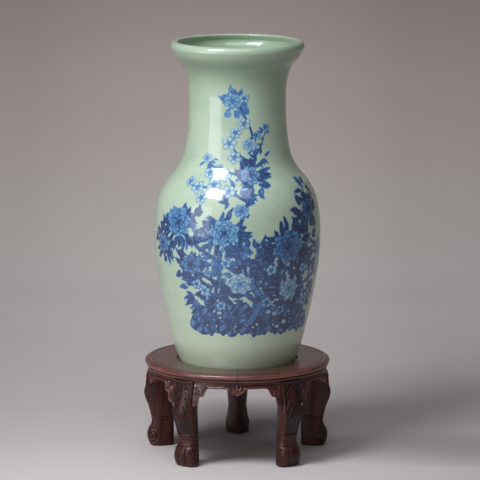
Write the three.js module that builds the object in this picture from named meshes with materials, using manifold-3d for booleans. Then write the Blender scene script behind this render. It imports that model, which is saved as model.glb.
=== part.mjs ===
// A celadon baluster vase standing in a five-legged hardwood stand.
// Millimetres, +Z up. The origin is on the floor, in the middle of the stand's footprint: the fifth leg
// reaches further back than the frame reaches forward, so the axis of vase and stand lies a little before it.
// The vase is one fired piece and lifts straight out of its seat. The stand is framed joinery:
// a round panel grooved into five curved frame segments, which are joined by loose splines and
// carried by five cabriole legs with a shaped apron between each two of them.

import * as THREE from "three";
import { mergeVertices } from "three/addons/utils/BufferGeometryUtils.js";
import Module from "manifold-3d";

const wasm = await Module();
wasm.setup();

const JOINT_GAP = 0.3; // clearance of every fitted joint

// Driving dimensions of the vase
const VASE_HEIGHT = 430;
const MOUTH_RADIUS = 89;
const LIP_HEIGHT = 11;
const NECK_RADIUS = 64.5;
const BODY_RADIUS = 111;
const FOOT_RADIUS = 78;
const WALL = 7;
const FLOOR_THICKNESS = 9;
const FOOT_RIM_WIDTH = 9;
const FOOT_RECESS = 7;

// Driving dimensions of the stand
const LEG_COUNT = 5;
const STAND_HEIGHT = 128; // floor to the top of the frame
const SEAT_CLEARANCE = 3; // room round the foot of the vase
const SEAT_DEPTH = 4; // how far the panel's top lies below the frame's top
const FRAME_WIDTH = 43; // from the seat to the outer edge
const FRAME_THICKNESS = 12;
const PANEL_THICKNESS = 6;
const PANEL_TONGUE = 6; // how far the panel's edge reaches into the frame
const PANEL_TONGUE_THICKNESS = 3;
const BATTEN_WIDTH = 18;
const BATTEN_THICKNESS = 8;
const LEG_SETBACK = 3; // from the frame's edge to the leg's face, right under the frame
const LEG_OVERHANG = 8; // how far the knee stands out past the frame
const FOOT_OVERHANG = 3; // how far the toe stands out past the frame
const ANKLE_SETBACK = 3; // how far the ankle's face lies inside the frame's edge
const KNEE_HEIGHT = 72;
const ANKLE_HEIGHT = 35;
const TOE_HEIGHT = 14; // the middle of the foot's scroll
const TOE_CURL = 6; // how far the scroll draws back down to the floor
const SHOULDER_DEPTH = 28; // front to back of a leg, right under the frame
const KNEE_DEPTH = 39;
const ANKLE_DEPTH = 30;
const FOOT_DEPTH = 36;
const LEG_WIDTH = 31; // across a leg, from the frame down to the knee
const ANKLE_WIDTH = 26;
const FOOT_WIDTH = 33;
const TENON_SIDE = 9;
const TENON_LENGTH = 6;
const APRON_THICKNESS = 8;
const APRON_SETBACK = 2; // from the leg's face to the apron's face
const APRON_SWELL = 6; // how far the apron's foot stands out past its top
const APRON_RAIL = 7; // height of the apron at its thinnest
const PENDANT_DROP = 9; // height of the pendant below the rail, in the middle of an apron
const SPANDREL_DEPTH = 32; // height of the apron beside a leg
const SPANDREL_WIDTH = 17; // how far the apron's corner reaches out from a leg
const STUB_LENGTH = 4; // the apron's stub tenons, let into the legs
const STUB_THICKNESS = 4;
const STUB_HEIGHT = 14;
const SPLINE_LENGTH = 22;
const SPLINE_WIDTH = 14;
const SPLINE_THICKNESS = 3;

const VASE_SEGMENTS = 64;
const RING_SEGMENTS = 80;
const LEG_ROWS = 26;
const SECTOR = (2 * Math.PI) / LEG_COUNT;
const SEAT_RADIUS = FOOT_RADIUS + SEAT_CLEARANCE;
const FRAME_OUTER_RADIUS = SEAT_RADIUS + FRAME_WIDTH;
const FRAME_BOTTOM = STAND_HEIGHT - FRAME_THICKNESS;
const PANEL_TOP = STAND_HEIGHT - SEAT_DEPTH;
const PANEL_BOTTOM = PANEL_TOP - PANEL_THICKNESS;
const TONGUE_TOP = PANEL_TOP - (PANEL_THICKNESS - PANEL_TONGUE_THICKNESS) / 2;
const TONGUE_BOTTOM = TONGUE_TOP - PANEL_TONGUE_THICKNESS;
const LEG_FACE = FRAME_OUTER_RADIUS - LEG_SETBACK;
const LEG_CENTRE = LEG_FACE - SHOULDER_DEPTH / 2;
const APRON_FACE = LEG_FACE - APRON_SETBACK;
const APRON_CENTRE = APRON_FACE - APRON_THICKNESS / 2;
const APRON_TOP = FRAME_BOTTOM - JOINT_GAP;
const REACH = 2 * FRAME_OUTER_RADIUS; // past every piece of the stand, for cutting blocks

const glaze = () => new THREE.MeshStandardMaterial({ color: 0xa9c7ab, roughness: 0.18, metalness: 0 });
const hardwood = () => new THREE.MeshStandardMaterial({ color: 0x4a2320, roughness: 0.42, metalness: 0 });
const paleWood = () => new THREE.MeshStandardMaterial({ color: 0x7a5038, roughness: 0.6, metalness: 0 });

// A closed geometry as a manifold solid
function solid(geometry) {
  const bare = geometry.index ? geometry.toNonIndexed() : geometry.clone();
  bare.deleteAttribute("normal");
  bare.deleteAttribute("uv");
  const merged = mergeVertices(bare, 1e-4);
  return new wasm.Manifold(
    new wasm.Mesh({
      numProp: 3,
      vertProperties: new Float32Array(merged.attributes.position.array),
      triVerts: new Uint32Array(merged.index.array),
    }),
  );
}

// A manifold solid as a geometry
function geometryOf(body) {
  const mesh = body.getMesh();
  const points = new Float32Array(mesh.numVert * 3);
  for (let i = 0; i < mesh.numVert; i++) {
    points.set(mesh.vertProperties.subarray(i * mesh.numProp, i * mesh.numProp + 3), i * 3);
  }
  const geometry = new THREE.BufferGeometry();
  geometry.setAttribute("position", new THREE.BufferAttribute(points, 3));
  geometry.setIndex(new THREE.BufferAttribute(new Uint32Array(mesh.triVerts), 1));
  geometry.computeVertexNormals();
  return geometry;
}

// A profile of [radius, height] points, counter-clockwise, turned about +Z
function turned(profile, segments) {
  const points = profile.map(([r, z]) => new THREE.Vector2(r, z));
  const geometry = new THREE.LatheGeometry(points, segments);
  geometry.rotateX(Math.PI / 2);
  return geometry;
}

function box(x0, x1, y0, y1, z0, z1) {
  const geometry = new THREE.BoxGeometry(x1 - x0, y1 - y0, z1 - z0);
  geometry.translate((x0 + x1) / 2, (y0 + y1) / 2, (z0 + z1) / 2);
  return geometry;
}

// A smooth line through [a, b] points, sampled at even steps
function smooth(points, steps) {
  const curve = new THREE.SplineCurve(points.map(([a, b]) => new THREE.Vector2(a, b)));
  return curve.getPoints(steps).map((p) => [p.x, p.y]);
}

// A smooth line of [height, value] points as a function of the height
function smoothValue(points) {
  const line = smooth(points, points.length * 10);
  return (height) => {
    const next = line.findIndex(([z]) => z >= height);
    if (next < 0) return line[line.length - 1][1];
    if (next === 0) return line[0][1];
    const [z0, v0] = line[next - 1];
    const [z1, v1] = line[next];
    return v0 + ((v1 - v0) * (height - z0)) / (z1 - z0);
  };
}

// A closed outline of [a, b] points, extruded from c0 to c1
function extruded(outline, c0, c1) {
  const shape = new THREE.Shape(outline.map(([a, b]) => new THREE.Vector2(a, b)));
  const geometry = new THREE.ExtrudeGeometry(shape, { depth: c1 - c0, bevelEnabled: false });
  geometry.translate(0, 0, c0);
  return geometry;
}

// A closed skin over rings of points: each ring is counter-clockwise seen from above, lowest ring first
function lofted(rings) {
  const count = rings[0].length;
  const points = rings.flat();
  const faces = [];
  for (let i = 0; i < rings.length - 1; i++) {
    for (let k = 0; k < count; k++) {
      const low = i * count;
      const next = (k + 1) % count;
      faces.push(low + k, low + next, low + count + next);
      faces.push(low + k, low + count + next, low + count + k);
    }
  }
  const top = (rings.length - 1) * count;
  for (let k = 1; k < count - 1; k++) {
    faces.push(0, k + 1, k);
    faces.push(top, top + k, top + k + 1);
  }
  const geometry = new THREE.BufferGeometry();
  geometry.setAttribute("position", new THREE.BufferAttribute(new Float32Array(points.flat()), 3));
  geometry.setIndex(faces);
  return geometry;
}

// The sector prism that belongs to one leg, with its two sides drawn in by half a joint gap
function sectorPrism() {
  const half = SECTOR / 2;
  const offset = JOINT_GAP / 2 / Math.sin(half);
  const side = REACH / Math.cos(half);
  const outline = [
    [offset, 0],
    [offset + side * Math.cos(half), -side * Math.sin(half)],
    [offset + side * Math.cos(half), side * Math.sin(half)],
  ];
  return solid(extruded(outline, 0, REACH));
}

// The vase

// Outer profile from the foot to the lip: each point follows the dimension it belongs to
function outerProfile() {
  const bulge = BODY_RADIUS - FOOT_RADIUS;
  const slope = BODY_RADIUS - NECK_RADIUS;
  const flare = MOUTH_RADIUS - NECK_RADIUS;
  const points = [
    [FOOT_RADIUS + bulge * 0.04, 0.014],
    [FOOT_RADIUS + bulge * 0.24, 0.056],
    [FOOT_RADIUS + bulge * 0.45, 0.12],
    [FOOT_RADIUS + bulge * 0.66, 0.19],
    [FOOT_RADIUS + bulge * 0.84, 0.265],
    [FOOT_RADIUS + bulge * 0.96, 0.335],
    [BODY_RADIUS, 0.405],
    [BODY_RADIUS - slope * 0.03, 0.465],
    [BODY_RADIUS - slope * 0.13, 0.52],
    [BODY_RADIUS - slope * 0.33, 0.563],
    [BODY_RADIUS - slope * 0.6, 0.6],
    [BODY_RADIUS - slope * 0.8, 0.635],
    [BODY_RADIUS - slope * 0.91, 0.68],
    [BODY_RADIUS - slope * 0.97, 0.735],
    [NECK_RADIUS, 0.805],
    [NECK_RADIUS + flare * 0.05, 0.87],
    [NECK_RADIUS + flare * 0.3, 0.92],
    [NECK_RADIUS + flare * 0.78, 0.955],
  ].map(([r, share]) => [r, share * VASE_HEIGHT]);
  return smooth([...points, [MOUTH_RADIUS, VASE_HEIGHT - LIP_HEIGHT * 0.72]], 34);
}

// The same line moved inwards by the wall, down to the inner floor, at every second point
function innerProfile(outer) {
  const inner = [];
  for (let i = outer.length - 2; i > 0; i -= 2) {
    const along = [outer[i + 1][0] - outer[i - 1][0], outer[i + 1][1] - outer[i - 1][1]];
    const length = Math.hypot(...along);
    const point = [
      outer[i][0] - (along[1] / length) * WALL,
      outer[i][1] + (along[0] / length) * WALL,
    ];
    if (point[1] < FOOT_RECESS + FLOOR_THICKNESS + WALL || point[1] > VASE_HEIGHT - WALL * 0.4) continue;
    inner.push(point);
  }
  return inner;
}

function vaseProfile() {
  const outer = outerProfile();
  const inner = innerProfile(outer);
  const floorTop = FOOT_RECESS + FLOOR_THICKNESS;
  const lipTop = [
    [MOUTH_RADIUS - LIP_HEIGHT * 0.08, VASE_HEIGHT - LIP_HEIGHT * 0.35],
    [MOUTH_RADIUS - LIP_HEIGHT * 0.3, VASE_HEIGHT - LIP_HEIGHT * 0.08],
    [MOUTH_RADIUS - LIP_HEIGHT * 0.6, VASE_HEIGHT],
    [MOUTH_RADIUS - LIP_HEIGHT * 0.95, VASE_HEIGHT - LIP_HEIGHT * 0.15],
  ];
  const lastInner = inner[inner.length - 1];
  return [
    [0, FOOT_RECESS],
    [FOOT_RADIUS - FOOT_RIM_WIDTH, FOOT_RECESS],
    [FOOT_RADIUS - FOOT_RIM_WIDTH * 0.8, 0],
    [FOOT_RADIUS - FOOT_RIM_WIDTH * 0.1, 0],
    ...outer,
    ...lipTop,
    ...inner,
    [lastInner[0] * 0.85, floorTop + WALL * 0.25],
    [0, floorTop],
  ];
}

function vaseBody() {
  const geometry = turned(vaseProfile(), VASE_SEGMENTS);
  geometry.translate(0, 0, PANEL_TOP);
  return solid(geometry);
}

// The stand's top

// Section of the frame: a rounded edge over a groove and a small bead, and a groove for the panel's tongue
function frameRing() {
  const grooveRadius = SEAT_RADIUS + PANEL_TONGUE + JOINT_GAP;
  const grooveTop = TONGUE_TOP + JOINT_GAP;
  const grooveBottom = TONGUE_BOTTOM - JOINT_GAP;
  const edge = [
    [0.42, 0],
    [0.3, 0.06],
    [0.26, 0.15],
    [0.32, 0.24],
    [0.4, 0.3],
    [0.16, 0.36],
    [0.04, 0.46],
    [0, 0.6],
    [0.05, 0.76],
    [0.18, 0.91],
    [0.38, 1],
  ].map(([inset, share]) => [
    FRAME_OUTER_RADIUS - inset * FRAME_THICKNESS,
    FRAME_BOTTOM + share * FRAME_THICKNESS,
  ]);
  const chamfer = SEAT_CLEARANCE / 3;
  const profile = [
    [SEAT_RADIUS, FRAME_BOTTOM],
    ...edge,
    [SEAT_RADIUS + chamfer, STAND_HEIGHT],
    [SEAT_RADIUS, STAND_HEIGHT - chamfer],
    [SEAT_RADIUS, grooveTop],
    [grooveRadius, grooveTop],
    [grooveRadius, grooveBottom],
    [SEAT_RADIUS, grooveBottom],
    [SEAT_RADIUS, FRAME_BOTTOM],
  ];
  return solid(turned(profile, RING_SEGMENTS));
}

// A loose spline across the joint of two frame segments, in the middle of the wood outside the groove
function splineBox(gap) {
  const middle = (FRAME_OUTER_RADIUS + SEAT_RADIUS + PANEL_TONGUE) / 2;
  const level = FRAME_BOTTOM + FRAME_THICKNESS * 0.4;
  return box(
    middle - SPLINE_WIDTH / 2 - gap,
    middle + SPLINE_WIDTH / 2 + gap,
    -SPLINE_LENGTH / 2 - gap,
    SPLINE_LENGTH / 2 + gap,
    level - SPLINE_THICKNESS / 2 - gap,
    level + SPLINE_THICKNESS / 2 + gap,
  );
}

// The tenon on top of a leg, from a little inside the leg up into the frame
function tenonBox(gap) {
  const half = TENON_SIDE / 2 + gap;
  return box(
    LEG_CENTRE - half,
    LEG_CENTRE + half,
    -half,
    half,
    FRAME_BOTTOM - TENON_LENGTH / 2,
    FRAME_BOTTOM + TENON_LENGTH + gap,
  );
}

// One curved frame segment, centred over a leg: mortised for the leg and slotted for two splines
function frameSegment() {
  let body = frameRing().intersect(sectorPrism());
  body = body.subtract(solid(tenonBox(JOINT_GAP)));
  for (const side of [-1, 1]) {
    const slot = splineBox(JOINT_GAP);
    slot.rotateZ((side * SECTOR) / 2);
    body = body.subtract(solid(slot));
  }
  return body;
}

function panel() {
  const shoulder = SEAT_RADIUS - JOINT_GAP;
  const profile = [
    [0, PANEL_BOTTOM],
    [shoulder, PANEL_BOTTOM],
    [shoulder, TONGUE_BOTTOM],
    [SEAT_RADIUS + PANEL_TONGUE, TONGUE_BOTTOM],
    [SEAT_RADIUS + PANEL_TONGUE, TONGUE_TOP],
    [shoulder, TONGUE_TOP],
    [shoulder, PANEL_TOP],
    [0, PANEL_TOP],
  ];
  return solid(turned(profile, RING_SEGMENTS));
}

// The batten under the panel keeps it flat and runs across the opening from side to side
function batten() {
  const top = PANEL_BOTTOM - JOINT_GAP;
  const bottom = top - BATTEN_THICKNESS;
  const bar = solid(box(-SEAT_RADIUS, SEAT_RADIUS, -BATTEN_WIDTH / 2, BATTEN_WIDTH / 2, bottom, top));
  const radius = SEAT_RADIUS - JOINT_GAP;
  const opening = turned([[0, 0], [radius, 0], [radius, STAND_HEIGHT], [0, STAND_HEIGHT]], RING_SEGMENTS);
  return bar.intersect(solid(opening));
}

// The legs

// A leg's outer face, inner face and half width, each as a function of the height
function legLines() {
  const knee = FRAME_OUTER_RADIUS + LEG_OVERHANG;
  const ankle = FRAME_OUTER_RADIUS - ANKLE_SETBACK;
  const toe = FRAME_OUTER_RADIUS + FOOT_OVERHANG;
  const shoulder = FRAME_BOTTOM - (FRAME_BOTTOM - KNEE_HEIGHT) * 0.42;
  const calf = (KNEE_HEIGHT + ANKLE_HEIGHT) / 2;
  const outer = smoothValue([
    [0, toe - TOE_CURL],
    [TOE_HEIGHT * 0.4, toe - TOE_CURL * 0.4],
    [TOE_HEIGHT, toe],
    [TOE_HEIGHT + (ANKLE_HEIGHT - TOE_HEIGHT) * 0.4, ankle + (toe - ankle) * 0.78],
    [TOE_HEIGHT + (ANKLE_HEIGHT - TOE_HEIGHT) * 0.7, ankle + (toe - ankle) * 0.22],
    [ANKLE_HEIGHT, ankle],
    [calf, ankle + (knee - ankle) * 0.4],
    [KNEE_HEIGHT, knee],
    [shoulder, LEG_FACE + (knee - LEG_FACE) * 0.3],
    [FRAME_BOTTOM, LEG_FACE],
  ]);
  const inner = smoothValue([
    [0, toe - FOOT_DEPTH],
    [TOE_HEIGHT, toe - FOOT_DEPTH],
    [ANKLE_HEIGHT, ankle - ANKLE_DEPTH],
    [KNEE_HEIGHT, knee - KNEE_DEPTH],
    [shoulder, LEG_FACE - SHOULDER_DEPTH],
    [FRAME_BOTTOM, LEG_FACE - SHOULDER_DEPTH],
  ]);
  const half = smoothValue([
    [0, FOOT_WIDTH / 2 - 1],
    [TOE_HEIGHT * 0.6, FOOT_WIDTH / 2],
    [TOE_HEIGHT * 1.2, FOOT_WIDTH / 2 - 0.5],
    [ANKLE_HEIGHT, ANKLE_WIDTH / 2],
    [calf, ANKLE_WIDTH / 2 + (LEG_WIDTH - ANKLE_WIDTH) * 0.2],
    [KNEE_HEIGHT, LEG_WIDTH / 2],
  ]);
  return { outer, inner, half };
}

// A section of a leg: a bowed face, eased front corners and a narrow back, counter-clockwise from above
function legRing(height, { outer, inner, half }) {
  const depth = outer(height) - inner(height);
  const corner = [
    [0, 0],
    [0.03, 0.5],
    [0.09, 0.82],
    [0.22, 1],
    [0.45, 0.96],
    [0.72, 0.66],
    [0.94, 0.3],
  ].map(([back, side]) => [outer(height) - back * depth, side * half(height)]);
  const left = corner.map(([x, y]) => [x, y, height]);
  const right = corner.slice(1).map(([x, y]) => [x, -y, height]).reverse();
  return [...left, [inner(height), 0, height], ...right];
}

function legBlank() {
  const lines = legLines();
  const rings = [];
  for (let i = 0; i <= LEG_ROWS; i++) rings.push(legRing((i / LEG_ROWS) * FRAME_BOTTOM, lines));
  return solid(lofted(rings));
}

// The stub tenon between a leg and the apron on one of its sides, in the leg's frame: side 1 is towards +Y
function stubBox(side, gap) {
  const inner = LEG_WIDTH / 2 - STUB_LENGTH - gap;
  const outer = LEG_WIDTH / 2 + STUB_LENGTH;
  const level = APRON_TOP - SPANDREL_DEPTH / 2;
  return box(
    APRON_CENTRE - STUB_THICKNESS / 2 - gap,
    APRON_CENTRE + STUB_THICKNESS / 2 + gap,
    side > 0 ? inner : -outer,
    side > 0 ? outer : -inner,
    level - STUB_HEIGHT / 2 - gap,
    level + STUB_HEIGHT / 2 + gap,
  );
}

function leg() {
  let body = legBlank().add(solid(tenonBox(0)));
  for (const side of [-1, 1]) body = body.subtract(solid(stubBox(side, JOINT_GAP)));
  return body;
}

// The aprons

// Front view of an apron: a thin rail with a pendant in its middle and a scalloped corner at each leg
function apronOutline() {
  const end = FRAME_OUTER_RADIUS * Math.sin(SECTOR / 2);
  const clear = APRON_FACE * Math.sin(SECTOR / 2) - (LEG_WIDTH / 2) * Math.cos(SECTOR / 2);
  const rail = APRON_TOP - APRON_RAIL;
  const corner = SPANDREL_DEPTH - APRON_RAIL;
  const right = smooth(
    [
      [0, rail - PENDANT_DROP],
      [PENDANT_DROP * 0.45, rail - PENDANT_DROP * 0.8],
      [PENDANT_DROP * 0.95, rail - PENDANT_DROP * 0.5],
      [PENDANT_DROP * 1.3, rail - PENDANT_DROP * 0.05],
      [PENDANT_DROP * 1.9, rail],
      [clear - SPANDREL_WIDTH * 1.35, rail],
      [clear - SPANDREL_WIDTH, rail - corner * 0.07],
      [clear - SPANDREL_WIDTH * 0.72, rail - corner * 0.42],
      [clear - SPANDREL_WIDTH * 0.42, rail - corner * 0.5],
      [clear - SPANDREL_WIDTH * 0.3, rail - corner * 0.86],
      [clear, rail - corner],
    ],
    32,
  );
  const left = right.slice(1).map(([x, z]) => [-x, z]).reverse();
  const bottom = APRON_TOP - SPANDREL_DEPTH;
  return [[end, APRON_TOP], [-end, APRON_TOP], [-end, bottom], ...left, ...right, [end, bottom]];
}

// The band that the apron is cut from, which swells with the leg's shoulder
function apronBand() {
  const face = [
    [APRON_FACE, APRON_TOP],
    [APRON_FACE + APRON_SWELL * 0.3, APRON_TOP - SPANDREL_DEPTH * 0.2],
    [APRON_FACE + APRON_SWELL * 0.66, APRON_TOP - SPANDREL_DEPTH * 0.45],
    [APRON_FACE + APRON_SWELL * 0.9, APRON_TOP - SPANDREL_DEPTH * 0.75],
    [APRON_FACE + APRON_SWELL, APRON_TOP - SPANDREL_DEPTH * 1.05],
  ];
  const back = face.map(([r, z]) => [r - APRON_THICKNESS, z]);
  return solid(turned([...back, ...face.reverse(), back[0]], RING_SEGMENTS));
}

function apron() {
  const outline = extruded(apronOutline(), 0, REACH);
  outline.rotateX(Math.PI / 2);
  outline.rotateZ(Math.PI / 2);
  let body = apronBand().intersect(solid(outline));
  const across = LEG_WIDTH / 2 + JOINT_GAP;
  for (const side of [-1, 1]) {
    const legSpace = box(0, REACH, -across, across, 0, STAND_HEIGHT);
    legSpace.rotateZ((side * SECTOR) / 2);
    body = body.subtract(solid(legSpace));
    const stub = stubBox(-side, 0);
    stub.rotateZ((side * SECTOR) / 2);
    body = body.add(solid(stub));
  }
  return body;
}

// The assembly

const group = new THREE.Group();
group.position.y = -LEG_OVERHANG / 2; // half the difference between the reach of the back knee and of the frame
const FIRST_LEG = -Math.PI / 2 + SECTOR / 2; // the two front legs stand either side of -Y

function place(name, body, material, turn = 0) {
  const mesh = new THREE.Mesh(geometryOf(body), material);
  mesh.name = name;
  mesh.rotation.z = turn;
  group.add(mesh);
}

place("vase", vaseBody(), glaze());
place("top_panel", panel(), hardwood());
place("panel_batten", batten(), paleWood());

const segmentBody = frameSegment();
const legBody = leg();
const apronBody = apron();
const splineBody = solid(splineBox(0));

for (let i = 0; i < LEG_COUNT; i++) {
  const turn = FIRST_LEG + i * SECTOR;
  place(`frame_segment_${i + 1}`, segmentBody, hardwood(), turn);
  place(`leg_${i + 1}`, legBody, hardwood(), turn);
  place(`apron_${i + 1}`, apronBody, hardwood(), turn + SECTOR / 2);
  place(`frame_spline_${i + 1}`, splineBody, paleWood(), turn + SECTOR / 2);
}

export default group;
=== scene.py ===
# A celadon baluster vase with blue painting, in a hardwood stand with five cabriole legs.
# Metres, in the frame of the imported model: the floor is z = 0 and the front of the stand faces -Y.
import math

import bpy
import numpy as np
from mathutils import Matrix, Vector


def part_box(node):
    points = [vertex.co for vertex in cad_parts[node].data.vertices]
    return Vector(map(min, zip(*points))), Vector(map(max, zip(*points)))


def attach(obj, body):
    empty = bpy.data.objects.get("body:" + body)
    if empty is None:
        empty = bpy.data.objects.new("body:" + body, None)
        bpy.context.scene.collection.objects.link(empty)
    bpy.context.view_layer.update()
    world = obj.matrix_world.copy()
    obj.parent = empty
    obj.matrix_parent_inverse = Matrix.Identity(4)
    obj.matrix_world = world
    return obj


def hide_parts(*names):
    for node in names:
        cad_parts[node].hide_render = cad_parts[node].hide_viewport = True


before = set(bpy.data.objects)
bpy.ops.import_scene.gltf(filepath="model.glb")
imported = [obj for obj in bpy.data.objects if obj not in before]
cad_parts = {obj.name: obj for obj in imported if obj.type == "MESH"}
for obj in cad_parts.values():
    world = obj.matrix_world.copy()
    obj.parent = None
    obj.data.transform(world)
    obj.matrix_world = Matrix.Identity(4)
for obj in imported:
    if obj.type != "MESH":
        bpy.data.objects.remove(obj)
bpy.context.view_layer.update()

MM = 0.001
FULL_TURN = 2 * math.pi

# The vase, in mm
vase_low, vase_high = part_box("vase")
AXIS_Y = (vase_low.y + vase_high.y) / 2  # in metres
SEAT_Z = vase_low.z  # in metres
VASE_HEIGHT = (vase_high.z - vase_low.z) / MM
BODY_RADIUS = (vase_high.x - vase_low.x) / 2 / MM
FOOT_RADIUS = 78.0
NECK_RADIUS = 64.5
MOUTH_RADIUS = 89.0
WALL = 7.0
LIP = 11.0
BASE_THICKNESS = 7.0  # height of the recessed base over the foot
FLOOR_INSIDE = 16.0
SKIN = 0.05  # how far the smooth pieces stay inside their faceted solids' box

# The painted skin: a grid of columns round the vase and rows up it
COLUMNS = 600
ROWS = 380
PAINT_LOW = 6.0
PAINT_HIGH = VASE_HEIGHT - LIP * 0.72
LIP_ROWS = 25
rng = np.random.default_rng(11)  # every random draw of the painting

# The brush, in mm
EDGE = 0.9  # how wide a painted edge fades
LINE_EDGE = 0.8
STAMEN_RADIUS = 1.0
GROUND_LINE = 52.0
BACK_GROUND_LINE = 55.0
PRUNUS_SLIP = 0.9
PEONY_RINGS = ((1.0, 7), (0.8, 6), (0.58, 5), (0.36, 4))  # share of the radius, petals
GROUND_WAVES = ((1.9, 17, 0), (1.5, 41, 1.3), (1.1, 73, 0.4))  # rise, waves round the vase, start
LEAVES_PER_AREA = 0.075

# The design in front, from what lies deepest to what lies on top. Each row starts with its place: degrees
# from the front, and the height over the foot in mm. Tones go from 0, bare glaze, to 1, the darkest blue.
FOLIAGE = (  # then half width, half height and tone
    (-10, 175, 34, 24, 0.34), (8, 140, 42, 34, 0.4), (34, 150, 36, 34, 0.6), (52, 175, 24, 38, 0.66),
    (-26, 120, 26, 34, 0.46), (16, 100, 56, 28, 0.66), (58, 120, 20, 30, 0.6), (-40, 190, 20, 22, 0.4),
    (-58, 172, 16, 24, 0.6), (-29, 196, 15, 22, 0.75), (13, 258, 16, 17, 0.5), (-37, 141, 14, 18, 0.75),
    (1, 228, 15, 12, 0.5), (-3, 356, 13, 18, 0.3))
ROCKS = (  # then half width, half height and tone
    (-27, 68, 17, 24, 0.86), (56, 68, 20, 24, 0.9), (-14, 74, 20, 26, 0.86), (44, 74, 22, 30, 0.94),
    (4, 70, 22, 22, 0.92), (24, 72, 24, 26, 0.96), (-20, 60, 18, 14, 0.98), (12, 60, 24, 14, 0.95),
    (36, 60, 24, 15, 0.96), (-4, 58, 18, 12, 0.94), (50, 59, 16, 12, 0.95))
GRASS_DEGREES = (-30, -22, -2, 8, 20, 33, 46, 56)
TRUNK = ([(10, 70), (17, 100), (6, 132), (0, 165), (2, 200), (10, 240), (19, 285), (16, 318), (3, 350)],
         [11, 10, 9, 7, 5, 4.2, 3.4, 2.6, 1.5])
BRANCHES = (  # places along each branch, and its widths
    ([(6, 130), (-10, 150), (-26, 168), (-42, 188)], [7, 5.5, 4, 2]),
    ([(10, 105), (-12, 122), (-32, 140), (-40, 150)], [6, 5, 3.5, 2]),
    ([(5, 150), (22, 158), (38, 172), (56, 205), (62, 244)], [8, 7, 6, 4.5, 2]),
    ([(38, 172), (52, 160), (70, 168), (82, 190)], [5, 4, 3, 1.6]),
    ([(11, 245), (0, 262), (-18, 268), (-34, 280)], [4, 3, 2, 1]),
    ([(8, 230), (-6, 242), (-22, 246), (-42, 248)], [4, 3, 2, 1]),
    ([(17, 278), (6, 284), (-5, 298), (-1, 318)], [2.6, 2, 1.5, 0.8]),
    ([(19, 285), (27, 298), (34, 318)], [3, 2.2, 1]),
    ([(12, 100), (34, 112), (56, 118), (72, 130)], [6, 5, 4, 2]))
SPRAYS = (  # then reach, number of leaves, their length and tone
    (-45, 199, 25, 26, 17, 0.72), (-62, 170, 18, 22, 14, 0.8), (-34, 145, 20, 22, 15, 0.8),
    (-12, 188, 26, 26, 17, 0.66), (38, 168, 30, 40, 18, 0.95), (58, 210, 20, 28, 15, 0.92),
    (63, 238, 12, 14, 12, 0.88), (74, 150, 20, 20, 15, 0.7), (12, 158, 26, 26, 15, 0.66),
    (-16, 108, 22, 26, 14, 0.66), (14, 118, 20, 20, 14, 0.62), (38, 112, 26, 30, 15, 0.78),
    (56, 104, 20, 20, 14, 0.74), (-30, 96, 14, 14, 12, 0.7), (13, 262, 17, 20, 12, 0.62),
    (2, 242, 16, 14, 12, 0.5), (17, 298, 8, 9, 10, 0.5), (25, 284, 8, 10, 10, 0.5),
    (-4, 354, 17, 14, 10, 0.36), (-33, 278, 8, 7, 9, 0.36), (32, 314, 6, 5, 8, 0.45))
PEONIES = (  # then radius and tone, and the white clay where there is any
    (-45, 200, 24, 0.72), (-62, 168, 15, 0.66), (-34, 146, 17, 0.78), (-9, 190, 22, 0.55),
    (37, 169, 27, 0.92), (60, 214, 16, 0.86), (2, 122, 18, 0.26, 0.8), (40, 112, 17, 0.34, 0.8),
    (3, 219, 11, 0.3, 0.7), (12, 262, 14, 0.52), (-5, 358, 13, 0.3), (14, 300, 11, 0.14, 0.9))
# White-clay blossoms; those just left of the front, 284 to 316 mm up, are also a painted highlight for the
# glaze's broad highlight there
PALE_PRUNUS = (  # then radius
    (8, 328, 9), (8, 361, 7), (-9, 302, 10), (-2, 316, 8), (-3, 284, 9), (-20, 250, 10),
    (-34, 246, 9), (-7, 243, 9), (-27, 264, 8), (-12, 262, 9), (-28, 234, 8), (-44, 252, 7))
PALE_TONE = 0.14
PRUNUS = (  # then radius and tone
    (62, 248, 7, 0.6), (-33, 282, 7, 0.22), (34, 322, 6, 0.22), (22, 312, 6, 0.3), (-18, 270, 6, 0.22),
    (-24, 112, 8, 0.22), (22, 96, 8, 0.36), (84, 192, 8, 0.4), (-8, 150, 7, 0.22), (24, 140, 8, 0.24),
    (52, 138, 7, 0.22), (-30, 120, 7, 0.22), (58, 92, 8, 0.36), (-12, 92, 7, 0.3), (34, 84, 7, 0.4))

# The lighter design behind, with the same columns
BACK_ROCKS = ((168, 70, 18, 26, 0.6), (182, 66, 24, 20, 0.7), (196, 62, 18, 14, 0.8), (156, 60, 14, 11, 0.8))
BACK_BRANCHES = (
    ([(176, 84), (170, 120), (182, 156), (176, 196), (188, 226)], [9, 8, 6, 4.5, 2]),
    ([(171, 125), (156, 142), (140, 150), (128, 168)], [6, 4.5, 3, 1.4]),
    ([(180, 150), (198, 162), (212, 160), (226, 176)], [5, 4, 3, 1.4]),
    ([(177, 188), (166, 202), (154, 208), (146, 220)], [4, 3, 2.2, 1.2]))
BACK_PRUNUS = ((174, 318, 9, 0.25), (184, 290, 8, 0.3), (182, 342, 7, 0.25))


# Lines and places

def smooth_line(points, steps):
    """Points on a smooth line through the given (a, b) points."""
    points = np.array(points, float)
    last = len(points) - 1
    place = np.linspace(0, last, steps + 1)
    k = np.minimum(place.astype(int), last - 1)
    t = (place - k)[:, None]
    p1, p2 = points[k], points[k + 1]
    p0 = np.where((k > 0)[:, None], points[np.maximum(k - 1, 0)], p1)
    p3 = np.where((k < last - 1)[:, None], points[np.minimum(k + 2, last)], p2)
    v0, v1 = (p2 - p0) / 2, (p3 - p1) / 2
    a, b = 2 * (p1 - p2) + v0 + v1, -3 * p1 + 3 * p2 - 2 * v0 - v1
    return a * t ** 3 + b * t ** 2 + v0 * t + p1


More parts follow.
